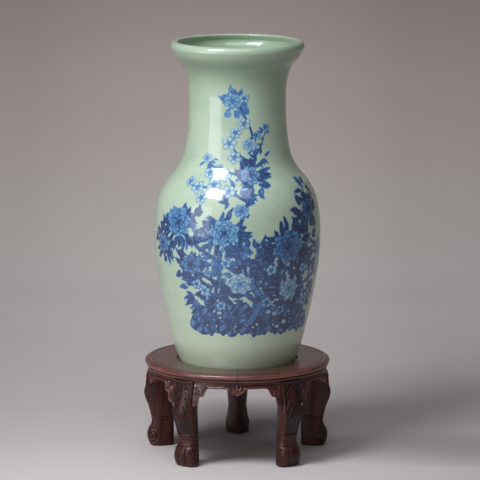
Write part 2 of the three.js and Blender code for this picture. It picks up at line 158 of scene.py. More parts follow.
def vase_outline():
    """(radius, height above the foot) in mm, from the foot to the lip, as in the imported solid."""
    points = []
    for start, end, rows in (  # share of the way between two radii, and share of the height
            (FOOT_RADIUS, BODY_RADIUS, ((0.04, 0.014), (0.24, 0.056), (0.45, 0.12), (0.66, 0.19),
                                        (0.84, 0.265), (0.96, 0.335))),
            (BODY_RADIUS, NECK_RADIUS, ((0, 0.405), (0.03, 0.465), (0.13, 0.52), (0.33, 0.563),
                                        (0.6, 0.6), (0.8, 0.635), (0.91, 0.68), (0.97, 0.735))),
            (NECK_RADIUS, MOUTH_RADIUS, ((0, 0.805), (0.05, 0.87), (0.3, 0.92), (0.78, 0.955)))):
        points += [(start + (end - start) * way, share * VASE_HEIGHT) for way, share in rows]
    return smooth_line([*points, (MOUTH_RADIUS, PAINT_HIGH)], 400)


OUTLINE = vase_outline() - np.array([SKIN, 0])


def radius_at(height):
    return np.interp(height, OUTLINE[:, 1], OUTLINE[:, 0])


def beside(degrees, height, across, up):
    """The place that lies some mm across and up from another place on the vase's side."""
    return degrees + math.degrees(across / radius_at(height)), height + up


def polar(radius, angle):
    return radius * np.cos(angle), radius * np.sin(angle)


def turned(x, y, angle):
    """How far points lie along a direction, and to its left."""
    return x * math.cos(angle) + y * math.sin(angle), -x * math.sin(angle) + y * math.cos(angle)


def to_segment(x, y, start, end):
    """The share of the way along a segment where it is nearest to each point, and the distance there."""
    dx, dy = end[0] - start[0], end[1] - start[1]
    t = np.clip(((x - start[0]) * dx + (y - start[1]) * dy) / (dx ** 2 + dy ** 2 + 1e-9), 0, 1)
    return t, np.hypot(x - start[0] - t * dx, y - start[1] - t * dy)


# Painting on a sheet that wraps round the vase

class Sheet:
    """blue is how much cobalt lies under the glaze, slip how much white clay stands on it."""

    def __init__(self):
        self.angle = (np.arange(COLUMNS) + 0.5) * FULL_TURN / COLUMNS - math.pi
        self.height = np.linspace(PAINT_LOW, PAINT_HIGH, ROWS)
        self.radius = radius_at(self.height)
        self.blue = np.zeros((ROWS, COLUMNS))
        self.slip = np.zeros((ROWS, COLUMNS))

    def patch(self, degrees, height, reach):
        """The grid's part round one place, and the distances across and up from the place in mm."""
        rows = np.arange(np.searchsorted(self.height, height - reach),
                         np.searchsorted(self.height, height + reach))
        wide = int(reach / radius_at(height) / FULL_TURN * COLUMNS) + 2
        middle = int((math.radians(degrees) + math.pi) / FULL_TURN * COLUMNS)
        columns = np.arange(middle - wide, middle + wide + 1)
        turn = (columns + 0.5) * FULL_TURN / COLUMNS - math.pi - math.radians(degrees)
        across = turn[None, :] * self.radius[rows][:, None]
        up = np.repeat((self.height[rows] - height)[:, None], len(columns), 1)
        return np.ix_(rows, columns % COLUMNS), across, up

    def lay(self, place, cover, blue, slip=0.0):
        """Paints over what is there, as far as cover says."""
        for layer, value in ((self.blue, blue), (self.slip, slip)):
            layer[place] = layer[place] * (1 - cover) + np.clip(value, 0, 1) * cover

    def draw(self, kind, rows, *more):
        for row in rows:
            kind(self, *row, *more)


def soft(distance, width=LINE_EDGE):
    """1 well inside, 0 well outside, with an edge as soft as a brush leaves."""
    return np.clip(distance / width + 0.5, 0, 1)


def outlined(blue, line, tone):
    """The blue with a line of another tone drawn in it."""
    return blue + line * (min(1.0, tone) - blue)


def leaf(sheet, degrees, height, length, wide, turn, tone):
    """A pointed leaf with an outline, a midrib and side veins; turn is its direction in radians."""
    place, x, y = sheet.patch(degrees, height, length + 3)
    along, side = turned(x, y, turn)
    along = along / length
    inner = np.clip(along, 0, 1)
    side = side + rng.uniform(-0.12, 0.12) * length * np.sin(math.pi * inner)
    half = wide / 2 * np.sin(math.pi * inner ** 0.8) ** 0.75 * (1 - 0.25 * inner)
    edge = half - np.abs(side)
    cover = soft(edge, EDGE) * (along > 0) * (along < 1)
    wash = tone * (0.62 + 0.42 * (1 - inner) + 0.1 * np.sign(side))
    outline = soft(0.75 - np.abs(edge - 0.4))
    midrib = soft(0.55 - np.abs(side))
    veins = soft(0.24 - np.abs((inner * length - np.abs(side) * 0.9) / 2.6 % 1 - 0.5), 0.5)
    blue = np.where(veins > 0.5, wash + 0.16, wash)
    sheet.lay(place, cover, outlined(blue, np.maximum(outline, midrib), tone + 0.35))


def petal(sheet, degrees, height, radius, start, spread, reach, tone, lobes, slip):
    """One petal of a blossom: a fan with a frilled rim, dark at its root and along its rim."""
    place, x, y = sheet.patch(degrees, height, reach + 3)
    out = np.hypot(x, y / 0.9)
    angle = (np.arctan2(y / 0.9, x) - start + math.pi) % FULL_TURN - math.pi
    share = angle / spread
    rim = reach * (1 - 0.32 * share ** 2 + 0.05 * np.cos(lobes * math.pi * share))
    inside = np.minimum(rim - out, (spread - np.abs(angle)) * out)
    inside = np.minimum(inside, out - radius * 0.1)
    depth = np.clip(out / reach, 0, 1)
    wash = tone * (0.98 - 0.62 * depth + 0.18 * depth ** 4)
    veins = soft(0.2 - np.abs((share * 3.5) % 1 - 0.5), 0.4) * (depth > 0.3) * (depth < 0.93)
    line = soft(0.8 - np.abs(inside - 0.35))
    blue = outlined(wash + 0.18 * tone * veins, line, tone * 0.8 + 0.4)
    sheet.lay(place, soft(inside, EDGE), blue, slip * (1 - depth * 0.3))


def stamens(sheet, degrees, height, spread, count, tone):
    """Dots round a flower's middle, near and far by turns."""
    for k in range(count):
        angle = FULL_TURN * k / count
        step = spread * (1 if k % 2 else 0.55)
        dot = beside(degrees, height, step * math.cos(angle), step * math.sin(angle))
        place, x, y = sheet.patch(*dot, STAMEN_RADIUS + 2)
        sheet.lay(place, soft(STAMEN_RADIUS - np.hypot(x, y), 1.0), tone)


def peony(sheet, degrees, height, radius, tone, slip=0.0):
    """A full blossom: rings of frilled petals, each over the one outside it."""
    for ring, (share, count) in enumerate(PEONY_RINGS):
        shade = tone * (0.82 + 0.07 * ring)
        turn = rng.uniform(0, FULL_TURN)
        for k in range(count):
            start = turn + FULL_TURN * k / count + rng.uniform(-0.12, 0.12)
            spread = 0.66 * FULL_TURN / count * rng.uniform(0.9, 1.1)
            reach = radius * share * rng.uniform(0.9, 1.0)
            petal(sheet, degrees, height, radius, start, spread, reach, shade, 2 + k % 2 * 2, slip)
    stamens(sheet, degrees, height, radius * 0.16, 9, tone + 0.35)


def prunus(sheet, degrees, height, radius, tone):
    """A small flower of five round petals with stamens, in white clay."""
    turn = rng.uniform(0, FULL_TURN)
    for k in range(5):
        start = turn + k * FULL_TURN / 5
        petal(sheet, degrees, height, radius * 0.5, start, 0.72, radius, tone, 1, PRUNUS_SLIP)
    stamens(sheet, degrees, height, radius * 0.34, 7, tone + 0.45)


def stroke(sheet, points, widths, tone, bark=0.0, steps=40):
    """A brush stroke through (degrees, height) places, with a darker edge and streaks where bark is set."""
    line = smooth_line(points, steps)
    sizes = np.interp(np.linspace(0, 1, steps + 1), np.linspace(0, 1, len(widths)), widths)
    degrees = line[:, 0].mean()
    height = line[:, 1].mean()
    px = np.radians(line[:, 0] - degrees) * radius_at(line[:, 1])
    py = line[:, 1] - height
    reach = max(np.abs(px).max(), np.abs(py).max()) + max(widths) + 3
    place, x, y = sheet.patch(degrees, height, reach)
    best = np.full(x.shape, -1e9)
    at = np.zeros(x.shape)
    for k in range(steps):
        t, away = to_segment(x, y, (px[k], py[k]), (px[k + 1], py[k + 1]))
        inside = (sizes[k] * (1 - t) + sizes[k + 1] * t) / 2 - away
        nearer = inside > best
        best = np.where(nearer, inside, best)
        at = np.where(nearer, k + t, at)
    blue = np.full(x.shape, tone)
    if bark:
        grain = np.sin(at * 2.1 + best * 2.4) + np.sin(at * 0.83 - best * 3.1 + 1.0)
        blue = tone - bark * 0.3 + bark * 0.24 * (grain > 0.35)
        blue = outlined(blue, soft(EDGE - np.abs(best - 0.4)), tone + 0.25)
    sheet.lay(place, soft(best, EDGE), blue)


def rock(sheet, degrees, height, wide, high, tone, ground):
    """A garden rock on the ground line: a lumpy mound with texture strokes and a few hollows."""
    place, x, y = sheet.patch(degrees, height, max(wide, high) * 1.25)
    angle = np.arctan2(y / high, x / wide)
    out = np.hypot(x / wide, y / high)
    rim = np.ones(x.shape)
    for n in (2, 3, 5, 7, 11):
        rim = rim + rng.uniform(0.25, 0.5) / n * np.sin(n * angle + rng.uniform(0, 6.28))
    turn = x / radius_at(height) + math.radians(degrees)
    wave = sum(rise * np.sin(turn * count + start) for rise, count, start in GROUND_WAVES)
    inside = np.minimum((rim - out) * min(wide, high), y + height - ground - wave)
    cover = soft(inside, 1.0)
    folds = np.sin(x * 0.42 + 2.2 * np.sin(y * 0.21 + rng.uniform(0, 6)) + rng.uniform(0, 6))
    folds = folds + 0.6 * np.sin(y * 0.55 - x * 0.2 + rng.uniform(0, 6))
    blue = tone * (0.72 + 0.2 * np.clip(folds, -1, 1)) + 0.12 * np.clip(inside / high, 0, 1)
    blue = blue + soft(0.16 - np.abs(folds - 0.9), 0.2) * 0.35
    sheet.lay(place, cover, outlined(blue, soft(1.0 - np.abs(inside - 0.4), EDGE), tone + 0.3))
    for _ in range(3):
        hollow_x = rng.uniform(-0.5, 0.5) * wide
        hollow_y = rng.uniform(-0.1, 0.5) * high
        size = rng.uniform(0.1, 0.17) * wide
        far = np.hypot((x - hollow_x) / 1.4, y - hollow_y)
        hole = soft(size - far, EDGE) * cover
        rim_line = soft(0.9 - np.abs(far - size))
        sheet.lay(place, np.maximum(hole, rim_line * cover), 0.12 + rim_line * (tone + 0.1))


def grass(sheet, degrees, height, length, tone):
    for _ in range(7):
        lean = rng.uniform(-0.9, 0.9)
        high = length * math.cos(lean) * rng.uniform(0.7, 1.0)
        tip = beside(degrees, height, length * math.sin(lean), high)
        middle = (degrees + (tip[0] - degrees) * 0.3, (height + tip[1]) / 2)
        stroke(sheet, [(degrees, height), middle, tip], [1.6, 1.3, 0.5], tone, steps=12)


def spray(sheet, degrees, height, spread, count, size, tone):
    """Leaves round one place, pointing outwards."""
    for _ in range(count):
        angle = rng.uniform(0, FULL_TURN)
        away = spread * math.sqrt(rng.uniform(0, 1))
        root = beside(degrees, height, away * math.cos(angle), away * 0.8 * math.sin(angle))
        leaf(sheet, *root, size * rng.uniform(0.75, 1.25), size * rng.uniform(0.34, 0.46),
             angle + rng.uniform(-0.6, 0.6), tone * rng.uniform(0.72, 1.05))


def foliage(sheet, degrees, height, wide, high, tone):
    """Thin blue leaves close together, which fill an oval behind the drawing."""
    for _ in range(int(wide * high * LEAVES_PER_AREA)):
        angle = rng.uniform(0, FULL_TURN)
        away = math.sqrt(rng.uniform(0, 1))
        root = beside(degrees, height, away * wide * math.cos(angle), away * high * math.sin(angle))
        leaf(sheet, *root, rng.uniform(9, 14), rng.uniform(4.5, 7), angle + rng.uniform(-1.2, 1.2),
             tone * rng.uniform(0.7, 1.15))


def paint_vase():
    sheet = Sheet()
    sheet.draw(foliage, FOLIAGE)
    sheet.draw(rock, ROCKS, GROUND_LINE)
    for degrees in GRASS_DEGREES:
        grass(sheet, degrees, 66 + rng.uniform(0, 10), 20, 0.75)
    stroke(sheet, *TRUNK, 0.74, 0.74, 90)
    sheet.draw(stroke, BRANCHES, 0.78, 0.7, 50)
    sheet.draw(spray, SPRAYS)
    sheet.draw(peony, PEONIES)
    sheet.draw(prunus, PALE_PRUNUS, PALE_TONE)
    peony(sheet, 76, 158, 14, 0.62)
    sheet.draw(prunus, PRUNUS)
    paint_back(sheet)
    return sheet


def paint_back(sheet):
    """The side that faces away: a rock with prunus, and two stems with leaves."""
    sheet.draw(rock, BACK_ROCKS, BACK_GROUND_LINE)
    sheet.draw(stroke, BACK_BRANCHES, 0.76, 0.7, 50)
    for points, _ in BACK_BRANCHES:
        for degrees, height in smooth_line(points, 14)[5::2]:
            prunus(sheet, degrees + rng.uniform(-4, 4), height + rng.uniform(-7, 7), rng.uniform(6, 9),
                   rng.uniform(0.2, 0.4))
    stroke(sheet, [(197, 66), (200, 82), (205, 98)], [2.4, 1.8, 1], 0.7, 0.4, 20)
    spray(sheet, 203, 94, 10, 10, 11, 0.6)
    stroke(sheet, [(170, 262), (180, 285), (174, 312), (182, 338)], [4, 3, 2.2, 1], 0.7, 0.4, 40)
    spray(sheet, 176, 300, 12, 12, 11, 0.55)
    sheet.draw(prunus, BACK_PRUNUS)


# Materials

CELADON = (0.41, 0.54, 0.39)
CELADON_PALE = (0.51, 0.63, 0.475)
# Deeper celadon: random clouds in the glaze, and the painted shade under the mouth
CELADON_DEEP = (0.27, 0.38, 0.245)
CELADON_THIN_AND_LIT = (0.66, 0.76, 0.56)
IRON_FLECK = (0.2, 0.24, 0.15)
WHITE_CLAY = (0.72, 0.76, 0.68)
COBALT = [(0.0, (0.25, 0.47, 0.56)), (0.3, (0.11, 0.33, 0.54)), (0.55, (0.034, 0.17, 0.42)),
          (0.78, (0.009, 0.056, 0.2)), (1.0, (0.004, 0.016, 0.075))]
WOOD_DARK = (0.034, 0.0075, 0.0055)
WOOD_LIGHT = (0.115, 0.028, 0.02)
BARE_DARK = (0.16, 0.08, 0.045)
BARE_LIGHT = (0.3, 0.17, 0.1)
CLAY = [(0.3, (0.5, 0.42, 0.32)), (0.7, (0.68, 0.6, 0.48))]
CLAY_STAIN = (0.34, 0.24, 0.16)


class Shading:
    """A material and its nodes. A value is a number, a colour or another node's output."""

    def __init__(self, name):
        self.material = bpy.data.materials.new(name)
        self.material.use_nodes = True
        self.nodes = self.material.node_tree.nodes
        self.shader = self.nodes["Principled BSDF"]
        self.place = self.add("TexCoord").outputs["Object"]

    def add(self, kind, **settings):
        node = self.nodes.new("ShaderNode" + kind)
        for key, value in settings.items():
            setattr(node, key, value)
        return node

    def put(self, node, values):
        """Sets or links a node's inputs, by name or by number."""
        for key, value in values.items():
            if isinstance(value, (float, int)):
                node.inputs[key].default_value = value
            elif isinstance(value, tuple):
                node.inputs[key].default_value = (*value, 1)
            else:
                self.material.node_tree.links.new(value, node.inputs[key])
        return node

    def attribute(self, name, output="Fac"):
        return self.add("Attribute", attribute_name=name).outputs[output]

    def noise(self, vector, scale, detail=4.0, roughness=0.55):
        values = {"Scale": scale, "Detail": detail, "Roughness": roughness, "Vector": vector}
        return self.put(self.add("TexNoise"), values).outputs["Fac"]

    def ramp(self, value, stops):
        node = self.put(self.add("ValToRGB"), {"Fac": value})
        elements = node.color_ramp.elements
        while len(elements) < len(stops):
            elements.new(0.5)
        for element, (place, colour) in zip(elements, stops):
            element.position = place
            element.color = (*colour, 1)
        return node.outputs["Color"]

    def fade(self, value, *stops):
        """A ramp of greys, from (place, level) stops."""
        return self.ramp(value, [(place, (level,) * 3) for place, level in stops])

    def calculate(self, operation, *values, clamp=False):
        node = self.add("Math", operation=operation, use_clamp=clamp)
        return self.put(node, dict(enumerate(values))).outputs[0]

    def mix(self, factor, a, b):
        return self.put(self.add("Mix", data_type="RGBA"), {0: factor, 6: a, 7: b}).outputs[2]

    def tint(self, colour, other, value, *stops):
        """Lays another colour over a colour, as far as the fade says."""
        return self.mix(self.fade(value, *stops), colour, other)

    def bump(self, height, strength, distance, normal=None):
        values = {"Strength": strength, "Distance": distance, "Height": height}
        if normal is not None:
            values["Normal"] = normal
        return self.put(self.add("Bump"), values).outputs["Normal"]


def times(colour, factor):
    return tuple(part * factor for part in colour)


def glaze_material(name, painted, depth=1.0):
    """Celadon glaze; depth over 1 darkens it as painted shade on the inside."""
    glaze = Shading(name)
    place = glaze.place
    cloud = glaze.noise(place, 9.0, detail=5.0)
    colour = glaze.ramp(cloud, [(at, tuple(part ** depth for part in tone))
                                for at, tone in ((0.35, CELADON), (0.7, CELADON_PALE))])
    colour = glaze.tint(colour, CELADON_DEEP, glaze.noise(place, 34.0), (0.52, 0), (0.75, 0.35))
    height = glaze.put(glaze.add("SeparateXYZ"), {0: place}).outputs["Z"]
    per_metre = 1 / (VASE_HEIGHT * MM)
    level = glaze.calculate("MULTIPLY_ADD", height, per_metre, -SEAT_Z * per_metre)
    # Paler towards the foot: thinner glaze there, and painted light for the light the floor throws up
    colour = glaze.tint(colour, CELADON_THIN_AND_LIT, level, (0.0, 0.95), (0.17, 0.25), (0.3, 0))
    # Painted shade: the glaze darkens up the neck's top and the flared mouth, most of all on the flare under
    # the lip
    rim = ((0.78, 0), (0.85, 0.2), (0.91, 0.95), (0.955, 1.0), (0.98, 0.5))
    colour = glaze.tint(colour, CELADON_DEEP, level, *rim)
    colour = glaze.tint(colour, IRON_FLECK, glaze.noise(place, 420.0, detail=2.0), (0.68, 0), (0.74, 0.7))
    ripple = glaze.noise(place, 55.0, detail=3.0)
    normal = glaze.bump(ripple, strength=0.1, distance=0.0006)
    if painted:
        slip = glaze.attribute("slip")
        wander = glaze.noise(place, 70.0, detail=6.0, roughness=0.65)
        heaped = glaze.noise(place, 380.0, detail=3.0, roughness=0.6)
        weight = glaze.calculate("MULTIPLY_ADD", wander, 0.6, 0.7)
        weight = glaze.calculate("MULTIPLY_ADD", heaped, 0.34, glaze.calculate("SUBTRACT", weight, 0.17))
        blueness = glaze.calculate("MULTIPLY", glaze.attribute("blue"), weight, clamp=True)
        colour = glaze.mix(glaze.calculate("MULTIPLY", slip, 0.75), colour, WHITE_CLAY)
        cobalt = glaze.ramp(blueness, COBALT)
        colour = glaze.tint(colour, cobalt, blueness, (0.0, 0), (0.1, 0.45), (0.3, 0.88), (0.6, 1))
        normal = glaze.bump(slip, strength=0.5, distance=0.0008, normal=normal)
    glaze.put(glaze.shader, {
        "Base Color": colour, "Roughness": 0.6, "Specular IOR Level": 0.8, "Coat Weight": 1.0,
        "Coat IOR": 1.6, "Coat Roughness": 0.09, "Normal": normal})
    return glaze.material


def biscuit_material():
    """Bare fired clay at the foot."""
    clay = Shading("bare_biscuit")
    grain = clay.noise(clay.place, 600.0, detail=6.0)
    stain = clay.noise(clay.place, 30.0, detail=3.0)
    colour = clay.tint(clay.ramp(grain, CLAY), CLAY_STAIN, stain, (0.4, 0), (0.8, 0.6))
    clay.put(clay.shader, {"Base Color": colour, "Roughness": 0.85,
                           "Normal": clay.bump(grain, strength=0.3, distance=0.0003)})
    return clay.material


def wood_material(name, dark, light, roughness, carved, wax=0.45):
    """Wood with its grain along X; carved pieces bring their own grain direction and their relief."""
    wood = Shading(name)
    place = wood.attribute("grain", "Vector") if carved else wood.place
    stretch = wood.add("Mapping")
    stretch.inputs["Scale"].default_value = (0.09, 1.0, 1.0)
    fibres = wood.put(stretch, {"Vector": place}).outputs["Vector"]
    grain = wood.noise(fibres, 210.0, detail=8.0, roughness=0.62)
    colour = wood.ramp(grain, [(0.32, dark), (0.7, light)])
    bands = wood.noise(fibres, 46.0, roughness=0.5)
    colour = wood.tint(colour, times(dark, 0.5), bands, (0.4, 0), (0.62, 0.55))
    cloud = wood.noise(place, 16.0, detail=3.0)
    colour = wood.tint(colour, times(dark, 0.55), cloud, (0.35, 0), (0.75, 0.4))
    pores = wood.noise(fibres, 900.0, detail=3.0)
    colour = wood.tint(colour, times(dark, 0.35), pores, (0.6, 0), (0.68, 0.8))
    if carved:
        relief = wood.calculate("SUBTRACT", wood.attribute("relief"), 0.25)
        patchy = wood.calculate("MULTIPLY_ADD", cloud, 0.5, relief)  # low carving is darker, high carving lighter
        colour = wood.tint(colour, times(dark, 0.3), patchy, (0.0, 0.75), (0.42, 0))
        colour = wood.tint(colour, times(light, 1.7), patchy, (0.5, 0), (0.85, 0.35))
    wood.put(wood.shader, {"Base Color": colour, "Roughness": roughness, "Specular IOR Level": 0.25 + wax / 2,
                           "Coat Weight": wax, "Coat Roughness": 0.14,
                           "Normal": wood.bump(grain, strength=0.25, distance=0.0003)})
    return wood.material


# Meshes

def mesh_object(name, vertices, faces, materials, slots=None):
    mesh = bpy.data.meshes.new(name)
    mesh.from_pydata(vertices, [], faces)
    if slots is not None:
        mesh.polygons.foreach_set("material_index", slots)
    mesh.polygons.foreach_set("use_smooth", [True] * len(faces))
    mesh.update()
    piece = bpy.data.objects.new(name, mesh)
    bpy.context.scene.collection.objects.link(piece)
    for material in materials:
        mesh.materials.append(material)
    return piece


def skin_faces(rings, around):
    """Quads between rings of points, and fans round the two points that come after the rings."""
    start = np.arange(rings - 1)[:, None] * around
    k = np.arange(around)
    n = (k + 1) % around
    quads = np.stack([start + k, start + n, start + around + n, start + around + k], -1).reshape(-1, 4)
    first = rings * around
    top = first - around
    sides = list(zip(k.tolist(), n.tolist()))
    caps = [(first, b, a) for a, b in sides]
    caps += [(first + 1, top + a, top + b) for a, b in sides]
    return quads, caps


def store(piece, name, values):
    """Keeps a number or a vector at each point of a skin, for its material, and 0 at the two end points."""
    ends = np.zeros((2, *values.shape[1:]))
    values = np.concatenate([values, ends]).astype(np.float32)
    kind, field = ("FLOAT", "value") if values.ndim == 1 else ("FLOAT_VECTOR", "vector")
    piece.data.attributes.new(name, kind, "POINT").data.foreach_set(field, values.reshape(-1))


# The vase

PAINTED, PLAIN, INSIDE, BISCUIT = range(4)  # material slots
FOOT_RING = [(60, BASE_THICKNESS), (66, BASE_THICKNESS), (69, 6.2), (70.2, 1), (71.2, 0), (76, 0),
             (77.2, 0.6), (77.9, 2)]  # (radius, height)


def lip_and_inside():
    """The profile from the top of the painted skin over the lip and down to the inner floor's middle."""
    line = OUTLINE[::8]
    inner = []
    for i in range(len(line) - 2, 0, -1):
        along = line[i + 1] - line[i - 1]
        along = along / np.hypot(*along)
        point = (line[i][0] - along[1] * WALL, line[i][1] + along[0] * WALL)
        if FLOOR_INSIDE + WALL < point[1] < VASE_HEIGHT - WALL * 0.6:
            inner.append(point)
    top = VASE_HEIGHT - SKIN
    over = [(MOUTH_RADIUS - LIP * inwards, top - LIP * down) for inwards, down in
            ((0.06, 0.38), (0.26, 0.1), (0.58, 0), (0.95, 0.14))]
    lip = smooth_line([OUTLINE[-1], *over, inner[0]], LIP_ROWS + 1)
    radius = inner[-1][0]
    floor = [(radius * 0.93, FLOOR_INSIDE + 2), (radius * 0.8, FLOOR_INSIDE), (radius * 0.4, FLOOR_INSIDE)]
    return [*lip[1:-1], *inner, *floor]


def vase(materials):
    """One lathe skin: the recessed foot, the painted side, the lip and the inside."""
    sheet = paint_vase()
    foot = len(FOOT_RING)
    profile = np.array([*FOOT_RING, *zip(sheet.radius, sheet.height), *lip_and_inside()])
    rings = len(profile)
    x, y = polar(profile[:, :1], sheet.angle - math.pi / 2)
    z = np.repeat(profile[:, 1:] * MM + SEAT_Z, COLUMNS, 1)
    ends = [(0, AXIS_Y, SEAT_Z + BASE_THICKNESS * MM), (0, AXIS_Y, SEAT_Z + FLOOR_INSIDE * MM)]
    vertices = np.concatenate([np.stack([x * MM, y * MM + AXIS_Y, z], -1).reshape(-1, 3), ends])
    quads, caps = skin_faces(rings, COLUMNS)
    row_slot = np.full(rings - 1, PLAIN)
    row_slot[1:foot - 1] = BISCUIT
    row_slot[foot - 1:foot + ROWS - 1] = PAINTED
    row_slot[foot + ROWS + LIP_ROWS - 1:] = INSIDE
    slots = np.repeat([*row_slot, PLAIN, INSIDE], COLUMNS)
    piece = mesh_object("glazed_vase", vertices.tolist(), quads.tolist() + caps, materials, slots)
    for name, values in (("blue", sheet.blue), ("slip", sheet.slip)):
        whole = np.zeros((rings, COLUMNS))
        whole[foot:foot + ROWS] = values
        store(piece, name, whole.reshape(-1))
    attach(piece, "vase")
    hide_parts("vase")


# The stand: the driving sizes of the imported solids, in mm

LEG_COUNT = 5
SECTOR = FULL_TURN / LEG_COUNT
FIRST_LEG = -math.pi / 2 + SECTOR / 2
JOINT_GAP = 0.3
STAND_HEIGHT = 128.0
SEAT_RADIUS = 81.0
FRAME_RADIUS = 124.0
FRAME_THICKNESS = 12.0
FRAME_BOTTOM = STAND_HEIGHT - FRAME_THICKNESS
TONGUE_LENGTH, TONGUE_LOW, TONGUE_HIGH = 6.0, 119.5, 122.5
LEG_FACE = FRAME_RADIUS - 3.0
LEG_WIDTH, ANKLE_WIDTH, FOOT_WIDTH = 31.0, 26.0, 33.0
KNEE, KNEE_HEIGHT = FRAME_RADIUS + 8.0, 72.0
ANKLE, ANKLE_HEIGHT = FRAME_RADIUS - 3.0, 35.0
TOE, TOE_HEIGHT, TOE_CURL = FRAME_RADIUS + 3.0, 14.0, 6.0
SHOULDER_DEPTH, KNEE_DEPTH, ANKLE_DEPTH, FOOT_DEPTH = 28.0, 39.0, 30.0, 36.0
APRON_FACE = LEG_FACE - 2.0
APRON_THICKNESS = 8.0
APRON_SWELL = 6.0
APRON_TOP = FRAME_BOTTOM - JOINT_GAP
APRON_RAIL, PENDANT_DROP, SPANDREL_DEPTH, SPANDREL_WIDTH = 7.0, 9.0, 32.0, 17.0

# Carving, in mm
PEARL_PITCH = 4.1
PEARL_STEPS = 8  # points along one pearl
PEARL_GAP = 1.35  # how deep the wood goes between two pearls
GROUND_DEPTH = 1.7  # how deep the carver sank the ground of a leg between the raised parts
APRON_GROUND_DEPTH = 1.3
BEAD = 2.6  # width of the bead along a leg's edges
KNEE_LEAVES = ((104, 19), (93, 19), (82, 17), (71, 14))  # height and length of each pair
VEIN = 0.5  # half width of a leaf's midrib
TOE_GROOVE = (0.8, 1.5)  # half width and depth, as in the grooves that follow
NAIL_GROOVE = (1.0, 0.9)
SIDE_GROOVE = (0.7, 1.0)
SCROLL_GROOVE = (0.8, 1.3)
COLLAR_GROOVE = (0.6, 0.8)


# Every carving function gives how far the wood stands up at each point

def step_up(distance, start, width):
    """0 before the start, 1 after it, over the given width."""
    share = np.clip((distance - start) / width, 0, 1)
    return share * share * (3 - 2 * share)


def ridge(distance, half, rise):
    """A rounded ridge along the line where the distance is 0."""
    return rise * np.sqrt(np.clip(1 - (distance / half) ** 2, 0, 1))


def groove(distance, half, depth):
    return -depth * np.exp(-(distance / half) ** 2)


def away_from(line, x, y):
    """Distance of each point to a line of (x, y) points."""
    return np.minimum.reduce([to_segment(x, y, a, b)[1] for a, b in zip(line[:-1], line[1:])])


def lobe(x, y, foot, angle, length, wide, rise):
    """A carved leaf: rounded across, with a midrib cut in, from its foot to its tip."""
    along, side = turned(x - foot[0], y - foot[1], angle)
    along = along / length
    inner = np.clip(along, 0, 1)
    half = wide / 2 * np.sin(math.pi * inner ** 0.7) + 1e-6
    body = ridge(side, half, rise)
    return np.where((along > 0) & (along < 1), body + groove(side, VEIN, rise * 0.45) * (body > 0.1), 0)


def spiral(centre, radius, start, turns):
    """A scroll that winds inwards, clockwise from its start angle."""
    angle = np.linspace(0, turns * FULL_TURN, int(turns * 28))
    out = radius * (1 - 0.86 * angle / angle[-1])
    return np.stack(polar(out, start - angle), -1) + centre


def smooth_value(points, heights):
    line = smooth_line(points, len(points) * 10)
    return np.interp(heights, line[:, 0], line[:, 1])


def stand_piece(name, node, rings, grain, relief, material, turn):
    """A closed skin over rings of points (rings, around, 3) in mm, turned round the axis."""
    count, around = rings.shape[:2]
    x, y = turned(rings[..., 0], rings[..., 1], -turn)
    placed = np.stack([x, y, rings[..., 2]], -1).reshape(-1, 3) * MM
    placed[:, 1] += AXIS_Y
    quads, caps = skin_faces(count, around)
    a, b, c = (placed[quads[:, j]] for j in range(3))
    if np.einsum("ij,ij->i", a, np.cross(b, c)).sum() < 0:
        quads = quads[:, ::-1]
        caps = [face[::-1] for face in caps]
    ends = [placed[:around].mean(0), placed[-around:].mean(0)]
    piece = mesh_object(name, np.concatenate([placed, ends]).tolist(), quads.tolist() + caps, [material])
    piece.data.polygons.foreach_set("use_smooth", [True] * len(quads) + [False] * len(caps))
    store(piece, "grain", grain.reshape(-1, 3) * MM)
    store(piece, "relief", relief.reshape(-1))
    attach(piece, "stand")
    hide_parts(node)


# The round top: five curved pieces with a moulded edge and a row of pearls under it

def frame_profile():
    """(inset, height, pearl share, tone_shift) from below round the edge; tone_shift is -1 in the hollows,
    which darkens them.
    """
    rows = [(5.4, 0.0, 0, -1), (4.9, 0.2, 0, -1), (4.6, 0.6, 0, -1), (4.5, 1.0, 0, -1)]
    for k in range(9):
        angle = math.pi * (k / 8 - 0.5)
        rows.append((4.4 - 1.7 * math.cos(angle), 2.7 + 1.5 * math.sin(angle), math.cos(angle), 0))
    rows += [(4.6, 4.5, 0, -1), (4.3, 4.9, 0, -1), (3.0, 5.0, 0, -1)]
    for k in range(17):
        angle = math.pi * (k / 16 - 0.5)
        tone_shift = 0.5 if 1 <= k <= 13 else 0
        rows.append((3.2 - 3.15 * max(math.cos(angle), 0) ** 0.8, 8.15 + 3.0 * math.sin(angle), 0, tone_shift))
    top = ((3.6, 11.3), (4.4, 11.5), (5.0, 11.9), (5.6, 12.0), (7.6, 12.0), (8.1, 11.6), (8.7, 11.4),
           (9.3, 11.6), (9.8, 12.0), (12.0, 12.0))
    return np.array(rows + [(*place, 0, 0) for place in top])


